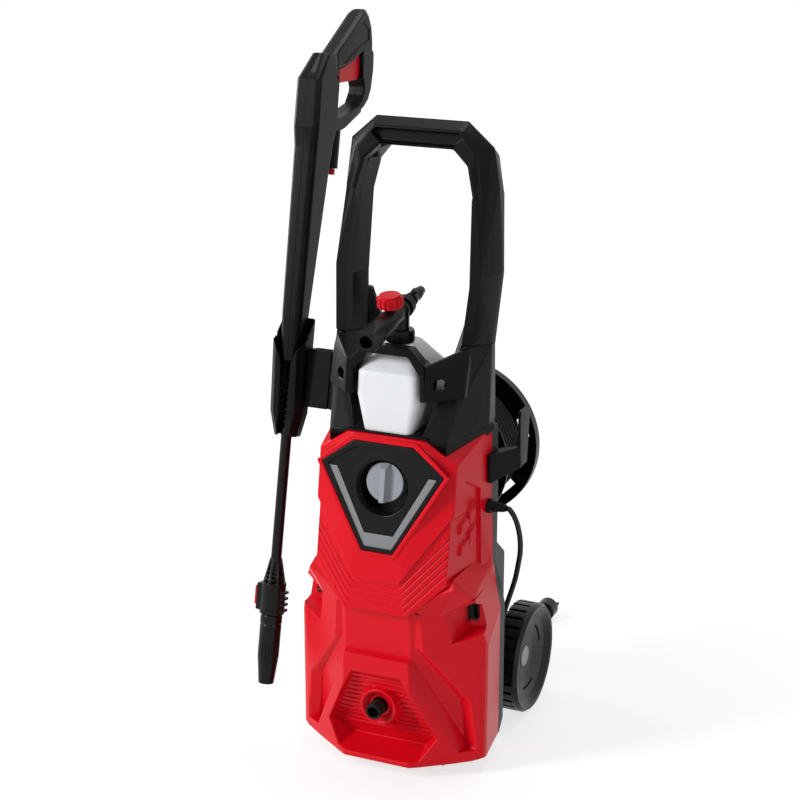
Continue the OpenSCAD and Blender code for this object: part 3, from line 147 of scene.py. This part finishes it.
# mains cord: out of its gland, down the flank and under the body to its coil behind the machine
cordSize = dict(
    diameter=0.0075,
    step=0.0055,
    sides=12,
    arcParts=8,
    coilAt=(-22.4, 392.0, 4.0),  # the coil and the route are in millimetres
    coilInner=28.0,
    coilStep=8.1,
    coilTurns=4,
    coilLayers=4,
    turnParts=24,
    climb=0.25,                  # part of a turn, before and after its end, over which the cord climbs
    endShort=0.001,              # part of a turn left out at the coil's end
)
cordRoute = [
    [137, 59, 368], [141, 59, 368], [146, 63, 359], [149, 69, 346], [150, 77, 329], [149, 86, 309],
    [146, 94, 289], [141, 101, 269], [136, 106, 248], [130, 109, 228], [123, 111, 206], [116, 113, 182],
    [109, 114, 156], [105, 114, 128], [103, 114, 100], [102, 113, 72], [101, 113, 48], [97, 116, 27],
    [90, 124, 12], [80, 136, 5], [70, 152, 4], [62, 174, 4], [58, 200, 4], [56, 230, 4], [54, 262, 4],
    [51, 290, 4], [46, 316, 4], [41, 340, 4], [38.5, 360, 4], [38, 374, 4], [38, 384.5, 4],
]
cordTail = [
    [38, 402, 28.3], [38, 414, 28.3], [39.5, 426, 27.8], [42, 438, 24.8], [45, 449, 20.5],
    [47, 459, 17], [48, 468, 16.3], [48, 478, 16.3],
]


def coilLine(size):
    # turns that spiral in and out again: the radius changes by a step with each turn,
    # and the height by a step with each layer
    turns, layers = size["coilTurns"], size["coilLayers"]
    inner, step, climb = size["coilInner"], size["coilStep"], size["climb"]
    turn = np.arange(0, turns * layers * size["turnParts"] + 1) / size["turnParts"]
    turn[-1] -= size["endShort"]
    layer = np.floor(turn / turns)
    part = turn - layer * turns
    radius = np.where(layer % 2 == 0, inner + step * (turns - part), inner + step * part)
    near = np.round(turn / turns)
    off = turn - near * turns
    climbs = (near > 0) & (near < layers) & (np.abs(off) <= climb)
    height = np.where(climbs, near - 1 + (off + climb) / (2 * climb), layer)
    a = 2 * math.pi * turn
    x, y, z = size["coilAt"]
    return np.stack([x + radius * np.cos(a), y + radius * np.sin(a), z + step * height], 1)


cordPoints = np.vstack([cordRoute, coilLine(cordSize), cordTail]) / 1000
cordLine = smoothLine(cordPoints, cordSize["step"], cordSize["arcParts"])
mainsCord = tube("mainsCord", cordLine, cordSize["diameter"] / 2, cordSize["sides"], (0, 1, 0))
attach(mainsCord, "machine")
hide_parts("power_cord", "cord_coil")


# shader maths
class Socket:
    def __init__(self, tree, link):
        self.tree, self.link = tree, link

    def calc(self, kind, *values):
        node = self.tree.nodes.new("ShaderNodeMath")
        node.operation = kind
        for k, value in enumerate(values):
            put(self.tree, node.inputs[k], value)
        return Socket(self.tree, node.outputs[0])

    def beside(self, out):
        # another output of the same node
        return Socket(self.tree, self.link.node.outputs[out])

    def __add__(self, other):
        return self.calc("ADD", self, other)

    def __radd__(self, other):
        return self.calc("ADD", other, self)

    def __sub__(self, other):
        return self.calc("SUBTRACT", self, other)

    def __rsub__(self, other):
        return self.calc("SUBTRACT", other, self)

    def __mul__(self, other):
        return self.calc("MULTIPLY", self, other)

    def __rmul__(self, other):
        return self.calc("MULTIPLY", other, self)

    def __truediv__(self, other):
        return self.calc("DIVIDE", self, other)

    def __rtruediv__(self, other):
        return self.calc("DIVIDE", other, self)

    def clamp(self):
        return self.calc("MINIMUM", self.calc("MAXIMUM", self, 0.0), 1.0)

    def absolute(self):
        return self.calc("ABSOLUTE", self)


def put(tree, socket, value):
    if isinstance(value, Socket):
        tree.links.new(value.link, socket)
    elif value is not None:
        socket.default_value = value


class Nodes:
    def __init__(self, tree):
        self.tree = tree

    def node(self, kind, settings=None, out=0, **values):
        # values go to the sockets of their names, with _ for a space, or by place to in0, in1 and so on
        made = self.tree.nodes.new("ShaderNode" + kind)
        for key, value in (settings or {}).items():
            setattr(made, key, value)
        for key, value in values.items():
            byPlace = key.startswith("in") and key[2:].isdigit()
            put(self.tree, made.inputs[int(key[2:]) if byPlace else key.replace("_", " ")], value)
        return Socket(self.tree, made.outputs[out])

    def place(self):
        return self.node("TexCoord", out="Object")

    def axes(self):
        x = self.node("SeparateXYZ", in0=self.place())
        return x, x.beside(1), x.beside(2)

    def noise(self, scale, detail, rough=0.5, where=None):
        where = where or self.place()
        return self.node("TexNoise", Vector=where, Scale=scale, Detail=detail, Roughness=rough)

    def mix(self, factor, one, two):
        # colours one and two by factor
        return self.node("Mix", {"data_type": "RGBA"}, out=2, in0=factor, in6=one, in7=two)

    def seenRays(self):
        # 1 on the camera's rays and those that gloss and clear parts send on, 0 on the rays that light things
        camera = self.node("LightPath", out="Is Camera Ray")
        return (camera + camera.beside("Is Glossy Ray") + camera.beside("Is Transmission Ray")).clamp()


class Shader(Nodes):
    def __init__(self, name, **fixed):
        self.material = bpy.data.materials.new(name)
        self.material.use_nodes = True
        super().__init__(self.material.node_tree)
        self.surface = self.tree.nodes["Principled BSDF"]
        for socket, value in fixed.items():
            self.set(socket.replace("_", " "), value)

    def set(self, socket, value):
        put(self.tree, self.surface.inputs[socket], value)

    def bump(self, height, strength, distance, radius, samples=6):
        # relief over the surface, with its edges rounded where there is a radius
        edges = self.node("Bevel", {"samples": samples}, Radius=radius) if radius else None
        relief = self.node("Bump", Strength=strength, Distance=distance, Height=height, Normal=edges)
        self.set("Normal", relief)


def shade(colour, by):
    return tuple(c * by for c in colour) + (1.0,)


# moulded plastics and rubbers
# painted shade: the pocket of each scoop is darkened to near black, standing in for the shade of an open air
# slot
slotShadeSize = dict(
    x=(0.099, 0.1212, 0.009),    # from, to, and the width over which the dark comes in
    y=(-0.010, 0.016, 0.012),
    z=(0.2195, 0.2490, 0.004),
    soft=0.0006,                 # width over which it goes out
    dark=(0.002, 0.002, 0.002, 1),
)
grainSize = dict(
    broad=9,                     # scale and detail of the slow change over a piece
    broadDetail=3,
    speckDetail=2,
    speckRough=0.6,
    depth=0.0002,
    smoother=0.05,               # taken off the roughness, before the two changes add to it
    broadDull=0.06,
    speckDull=0.05,
    coatRough=0.2,
)
plastics = dict(
    redShell=dict(colour=(0.62, 0.0022, 0.011), rough=0.3, grain=0.1, fine=1400, radius=0.0007,
                  tint=0.03, gloss=0.15, paintedShade=slotShadeSize),
    redSmall=dict(colour=(0.56, 0.003, 0.011), rough=0.36, grain=0.06, radius=0.0008,
                  tint=0.04, gloss=0.14),
    blackPlastic=dict(colour=(0.0032, 0.0032, 0.0036), rough=0.36, grain=0.05, fine=1100, radius=0.0008,
                      gloss=0.09),
    blackSatin=dict(colour=(0.0030, 0.0030, 0.0034), rough=0.28, grain=0.08, fine=1100, radius=0.0009,
                    gloss=0.18),
    greyPlastic=dict(colour=(0.028, 0.029, 0.032), rough=0.46, grain=0.35, fine=1000, radius=0.0008,
                     gloss=0.2),
    silverPaint=dict(colour=(0.21, 0.215, 0.225), rough=0.3, grain=0.15, fine=2600, radius=0.0006,
                     coat=0.15, shine=0.55),
    knobGrey=dict(colour=(0.26, 0.28, 0.31), rough=0.36, grain=0.12, fine=1800, radius=0.0014,
                  coat=0.1),
    softRubber=dict(colour=(0.006, 0.006, 0.0066), rough=0.6, grain=0.4, fine=1300, radius=0.0006,
                    gloss=0.15),
    cordRubber=dict(colour=(0.004, 0.004, 0.0045), rough=0.44, grain=0.2, fine=1500, gloss=0.25),
    wheelPlastic=dict(colour=(0.0036, 0.0036, 0.004), rough=0.34, grain=0.15, radius=0.0012,
                      gloss=0.22),
)


def slotShadeMask(made, size):
    # 1 inside a box at x and at -x, the pocket of each scoop, painted near black as the shade of an open air
    # slot: the product of its six faded sides
    x, y, z = made.axes()
    mask = 1.0
    for value, (low, high, fade) in zip((x.absolute(), y, z), (size["x"], size["y"], size["z"])):
        mask = mask * ((value - low) / fade).clamp() * ((high - value) / size["soft"]).clamp()
    return mask


def moulded(name, colour, rough, grain, radius=None, fine=900, tint=0.06, coat=0.0, gloss=0.35,
            shine=0.0, paintedShade=None):
    # fine spark-eroded grain, and a faint change of colour and gloss over the surface
    made = Shader(name, Coat_Weight=coat, Coat_Roughness=grainSize["coatRough"],
                  Specular_IOR_Level=gloss, Metallic=shine)
    broad = made.noise(grainSize["broad"], grainSize["broadDetail"])
    speck = made.noise(fine, grainSize["speckDetail"], grainSize["speckRough"])
    tinted = made.mix(broad, shade(colour, 1 - tint), shade(colour, 1 + tint))
    # painted shade: the scoops' pockets go near black, as the dark of an air slot
    if paintedShade:
        tinted = made.mix(slotShadeMask(made, paintedShade), tinted, paintedShade["dark"])
    made.set("Base Color", tinted)
    dull = broad * grainSize["broadDull"] + speck * grainSize["speckDull"]
    made.set("Roughness", rough - grainSize["smoother"] + dull)
    made.bump(speck, grain, grainSize["depth"], radius)
    return made.material


# machined and drawn metals
lineSize = dict(scale=60, stretch=40, detail=3, rough=0.6, dull=0.12, depth=0.0002, radius=0.0006,
                broad=14, darker=0.92, lighter=1.04)
metals = dict(
    steel=dict(colour=(0.60, 0.61, 0.63), rough=0.28, relief=0.15),
    castAluminium=dict(colour=(0.62, 0.63, 0.65), rough=0.42, relief=0.3),
    brass=dict(colour=(0.72, 0.53, 0.22), rough=0.26, relief=0.15),
)


def metal(name, colour, rough, relief, size=lineSize):
    # fine lines along z: a noise in x and y times the stretch, and in z as it is
    made = Shader(name, Metallic=1.0)
    x, y, z = made.axes()
    stretched = made.node("CombineXYZ", X=x * size["stretch"], Y=y * size["stretch"], Z=z)
    lines = made.noise(size["scale"], size["detail"], size["rough"], stretched)
    broad = made.noise(size["broad"], size["detail"])
    made.set("Base Color", made.mix(broad, shade(colour, size["darker"]), shade(colour, size["lighter"])))
    made.set("Roughness", rough + lines * size["dull"])
    made.bump(lines, relief, size["depth"], size["radius"])
    return made.material


# blow-moulded bottle
bottleSize = dict(
    rough=0.34,
    clear=0.35,                  # share of the light that goes in
    spread=(0.02, 0.02, 0.02),
    scale=0.4,
    darker=(0.66, 0.68, 0.71, 1),
    lighter=(0.74, 0.76, 0.78, 1),
    broad=26,
    broadDetail=3,
    ripple=60,
    rippleDetail=2,
    relief=0.12,
    depth=0.001,
    radius=0.006,
)


def milky(name, size):
    # milky plastic that lets some light through, with a faint ripple
    made = Shader(name, Roughness=size["rough"], Subsurface_Weight=size["clear"],
                  Subsurface_Radius=size["spread"], Subsurface_Scale=size["scale"])
    broad = made.noise(size["broad"], size["broadDetail"])
    made.set("Base Color", made.mix(broad, size["darker"], size["lighter"]))
    ripple = made.noise(size["ripple"], size["rippleDetail"])
    made.bump(ripple, size["relief"], size["depth"], size["radius"])
    return made.material


finishes = {name: moulded(name, **values) for name, values in plastics.items()}
finishes.update({name: metal(name, **values) for name, values in metals.items()})
finishes["bottlePlastic"] = milky("bottlePlastic", bottleSize)
finishOf = dict(
    redShell=["front_shell"],
    redSmall=["foam_knob", "gun_inlet_collar", "trigger", "trigger_catch", "nozzle_button"],
    blackPlastic=["handle_front", "handle_rear", "handle_base", "lance_holder", "cord_hook", "base_pan",
                  "front_foot", "gun_shell_left", "gun_shell_right"],
    blackSatin=["control_panel", "foam_body", "foam_horn", "bottle_collar", "nozzle_head", "nozzle_sleeve",
                "lance_neck", "lance_pipe", "reel_drum", "reel_crank", "crank_knob", "water_inlet", "plug",
                "rotary_switch"],
    greyPlastic=["rear_shell", "motor_fan"],
    silverPaint=["panel_trim", "hub_cap_left", "hub_cap_right"],
    knobGrey=["switch_knob"],
    softRubber=["cable_gland", "foam_rings", "hose_winding"],
    cordRubber=["power_cord", "cord_coil"],
    wheelPlastic=["wheel_left", "wheel_right"],
    steel=["motor", "inlet_filter", "handle_screws", "trigger_pin", "axle", "reel_spindle", "shell_screws"],
    castAluminium=["pump_body", "pump_head", "capacitor"],
    brass=["gun_valve", "outlet_pipe", "hose_fitting"],
    bottlePlastic=["foam_bottle"],
)
for finish, names in finishOf.items():
    for name in names:
        nodes[name].data.materials.clear()
        nodes[name].data.materials.append(finishes[finish])
mainsCord.data.materials.append(finishes["cordRubber"])
print("materials on", sum(len(names) for names in finishOf.values()), "nodes")

# moulded edges: copies of the shells whose sharp edges are turned into narrow rounds
edgeSize = dict(                 # name, width of the rounds, material slot
    front_shell=("redBody", 0.0024, "red_shell"),
    rear_shell=("rearBody", 0.002, "grey_plastic"),
    base_pan=("basePan", 0.0016, "black_plastic"),
    front_foot=("frontFoot", 0.002, "soft_rubber"),
    control_panel=("switchPanel", 0.0012, "black_plastic"),
    panel_trim=("silverTrim", 0.0006, "silver_plastic"),
    handle_front=("handleFace", 0.0032, "black_plastic"),
    handle_rear=("handleBack", 0.0032, "black_plastic"),
    handle_base=("handleFoot", 0.0026, "black_plastic"),
    lance_holder=("lanceHolder", 0.0016, "black_plastic"),
    cord_hook=("cordHook", 0.0016, "black_plastic"),
    gun_shell_left=("gunLeft", 0.0024, "black_plastic"),
    gun_shell_right=("gunRight", 0.0024, "black_plastic"),
    trigger=("gunTrigger", 0.001, "red_shell"),
    foam_bottle=("foamBottle", 0.0075, "clear_bottle"),
    foam_body=("foamBody", 0.0012, "black_plastic"),
    cable_gland=("cableGland", 0.0008, "soft_rubber"),
    lance_neck=("lanceNeck", 0.0008, "black_plastic"),
    nozzle_head=("nozzleHead", 0.0008, "black_plastic"),
)
roundSize = dict(
    merge=2e-5,                  # corners closer than this are one
    flat=1.0,                    # faces that turn less, in degrees, are one
    crease=3.0,                  # edges that turn less are shaded smooth
    creaseRoom=0.008,            # and so are creases with less room
    sharp=20.0,                  # edges that turn more get a round
    seam=0.0005,                 # width of a round at a seam
    seamReach=0.0007,            # an edge this near the mate lies at the seam
    share=2.6,                   # a round takes the room divided by this
    least=0.0003,                # a smaller round is left out
    corners=5,                   # faces with more corners are cut into triangles
    segments=3,
    weight=80,
)
seams = [
    ("front_shell", "rear_shell"),
    ("handle_front", "handle_rear"),
    ("gun_shell_left", "gun_shell_right"),
]
mates = {one: other for pair in seams for one, other in (pair, pair[::-1])}


def edgeRoom(edge):
    # how far a round may reach from this edge: its own length, its neighbours' and the width of its faces
    a, b = (corner.co for corner in edge.verts)
    along = (b - a).normalized()
    room = edge.calc_length()
    for face in edge.link_faces:
        beside = [other.calc_length() for other in face.edges
                  if other is not edge and not set(other.verts).isdisjoint(edge.verts)]
        wide = max(((corner.co - a) - (corner.co - a).dot(along) * along).length for corner in face.verts)
        room = min([room, wide] + beside)
    return room


def nearTree(data):
    # search tree for the nearest point of a mesh
    work = bmesh.new()
    work.from_mesh(data)
    tree = BVHTree.FromBMesh(work)
    work.free()
    return tree


def mergeFlat(work, size):
    angle = math.radians(size["flat"])
    bmesh.ops.dissolve_limit(work, angle_limit=angle, verts=work.verts, edges=work.edges)


def settled(piece, node):
    # the modifiers worked into the mesh, which then stands for the node, in its finish and on its body
    made = bpy.data.meshes.new_from_object(piece.evaluated_get(bpy.context.evaluated_depsgraph_get()))
    piece.modifiers.clear()
    piece.data = made
    made.name = piece.name
    made.materials.clear()
    made.materials.append(nodes[node].data.materials[0])
    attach(piece, nodes[node].parent.name.split(":")[1])
    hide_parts(node)


def softened(node, name, width, size=roundSize):
    work = bmesh.new()
    work.from_mesh(nodes[node].data)
    bmesh.ops.remove_doubles(work, verts=work.verts, dist=size["merge"])
    mergeFlat(work, size)
    bmesh.ops.dissolve_degenerate(work, dist=size["merge"], edges=work.edges)
    share = work.edges.layers.float.new("bevel_weight_edge")
    mate = nearTree(nodes[mates[node]].data) if node in mates else None
    for edge in work.edges:
        turn = math.degrees(edge.calc_face_angle(0)) if len(edge.link_faces) == 2 else 0
        room = edgeRoom(edge) if turn > size["crease"] else 0
        edge.smooth = turn < size["crease"] or room < size["creaseRoom"]
        if turn > size["sharp"]:
            middle = (edge.verts[0].co + edge.verts[1].co) / 2
            atSeam = mate is not None and mate.find_nearest(middle, size["seamReach"])[0] is not None
            reach = min(size["seam"] if atSeam else width, room / size["share"])
            edge[share] = reach / width if reach > size["least"] else 0.0
            edge.smooth = reach > size["least"]
    many = [face for face in work.faces if len(face.verts) > size["corners"]]
    bmesh.ops.triangulate(work, faces=many, ngon_method="BEAUTY")
    data = bpy.data.meshes.new(name)
    work.to_mesh(data)
    work.free()
    data.polygons.foreach_set("use_smooth", np.ones(len(data.polygons), bool))
    piece = linked(name, data)
    rounds = piece.modifiers.new("rounds", "BEVEL")
    rounds.limit_method = "WEIGHT"
    rounds.width, rounds.segments, rounds.use_clamp_overlap = width, size["segments"], False
    inside = piece.modifiers.new("inside", "SHRINKWRAP")  # nothing stands out past the solid
    inside.target, inside.wrap_method, inside.wrap_mode = nodes[node], "NEAREST_SURFACEPOINT", "INSIDE"
    flat = piece.modifiers.new("flat", "WEIGHTED_NORMAL")
    flat.weight, flat.keep_sharp = size["weight"], True
    settled(piece, node)


for node, (name, width, slot) in edgeSize.items():
    softened(node, name, width)
print("moulded edges on", len(edgeSize), "nodes")

# release button of the lance, rounded and a little prouder than its solid
buttonSize = dict(
    proud=0.0026,                # how far the pad is moved out
    round=0.0012,
    digits=5,                    # the corners' places are rounded to so many decimals
    merge=3e-5,
    flat=1.0,
    segments=3,
    weight=80,
    slot="red_shell",
)


def proudButton(node, name, size):
    # the hull of the solid's corners, those of the outer half moved out along -x by the proud height
    solid = nodes[node].data
    corners = np.empty(len(solid.vertices) * 3)
    solid.vertices.foreach_get("co", corners)
    corners = corners.reshape(-1, 3)
    x = corners[:, 0]
    corners[:, 0] = np.where(x < x.mean(), x.min() - size["proud"], x.max())
    data = bpy.data.meshes.new(name)
    data.from_pydata(np.unique(corners.round(size["digits"]), axis=0).tolist(), [], [])
    work = bmesh.new()
    work.from_mesh(data)
    bmesh.ops.remove_doubles(work, verts=work.verts, dist=size["merge"])
    bmesh.ops.convex_hull(work, input=work.verts)
    mergeFlat(work, size)
    work.to_mesh(data)
    work.free()
    data.shade_smooth()
    piece = linked(name, data)
    rounds = piece.modifiers.new("rounds", "BEVEL")
    rounds.width, rounds.segments = size["round"], size["segments"]
    flat = piece.modifiers.new("flat", "WEIGHTED_NORMAL")
    flat.weight = size["weight"]
    settled(piece, node)


proudButton("nozzle_button", "nozzleButton", buttonSize)
print("release button")

# pale floor, which glows white to the eye and keeps the machine's shadow near it
stageSize = dict(
    floor=14.0,
    paint=(0.94, 0.94, 0.94, 1),
    rough=0.9,
    white=(1, 1, 1, 1),
    strength=1.06,
    glow=0.68,                   # share of the glow round the machine
    near=0.4,                    # the glow keeps its share out to here
    away=1.1,                    # and is whole from here on
    world=0.24,
)
half = stageSize["floor"] / 2
floor = meshFrom("floor", [(-half, -half, 0), (half, -half, 0), (half, half, 0), (-half, half, 0)],
                 [(0, 1, 2, 3)], smooth=False)
paleFloor = Shader("paleFloor", Base_Color=stageSize["paint"], Roughness=stageSize["rough"])
far = paleFloor.node("VectorMath", {"operation": "LENGTH"}, out="Value", in0=paleFloor.place())
away = ((far - stageSize["near"]) / (stageSize["away"] - stageSize["near"])).clamp()
seen = paleFloor.seenRays() * (stageSize["glow"] + away * (1.0 - stageSize["glow"]))
painted = Socket(paleFloor.tree, paleFloor.surface.outputs[0])
glowing = paleFloor.node("Emission", Color=stageSize["white"], Strength=stageSize["strength"])
lookedAt = paleFloor.node("MixShader", in0=seen, in1=painted, in2=glowing)
put(paleFloor.tree, paleFloor.tree.nodes["Material Output"].inputs[0], lookedAt)
floor.data.materials.append(paleFloor.material)

# world: white to look at, dim as a light
world = bpy.data.worlds.new("studio")
scene.world = world
world.use_nodes = True
sky = Nodes(world.node_tree)
sky.tree.nodes.remove(sky.tree.nodes["Background"])
dim = sky.node("Background", Color=stageSize["white"], Strength=stageSize["world"])
bright = sky.node("Background", Color=stageSize["white"], Strength=1.0)
both = sky.node("MixShader", in0=sky.seenRays(), in1=dim, in2=bright)
put(sky.tree, sky.tree.nodes["World Output"].inputs[0], both)

# lamps: large soft boxes, the key from the front and -x
lampSpread = 150  # degrees
lamps = dict(
    keyLight=dict(at=(-2.3, -2.2, 2.0), to=(0, 0, 0.45), width=0.7, height=1.8, power=74.0),
    fillLight=dict(at=(2.5, -1.6, 1.8), to=(0, 0, 0.4), width=0.5, height=1.8, power=11.0),
    topLight=dict(at=(0.2, 0.9, 2.9), to=(0, 0.1, 0.5), width=1.8, height=0.7, power=22.0),
    leftStrip=dict(at=(-2.4, 0.9, 1.3), to=(0, 0, 0.5), width=0.3, height=2.0, power=16.0),
)


def softbox(name, at, to, width, height, power):
    lamp = bpy.data.lights.new(name, "AREA")
    lamp.shape = "RECTANGLE"
    lamp.size, lamp.size_y = width, height
    lamp.energy = power
    lamp.spread = math.radians(lampSpread)
    thing = linked(name, lamp)
    thing.location = at
    thing.rotation_euler = turnedTo(Vector(to) - Vector(at))


for name, values in lamps.items():
    softbox(name, **values)
print("stage and lights")
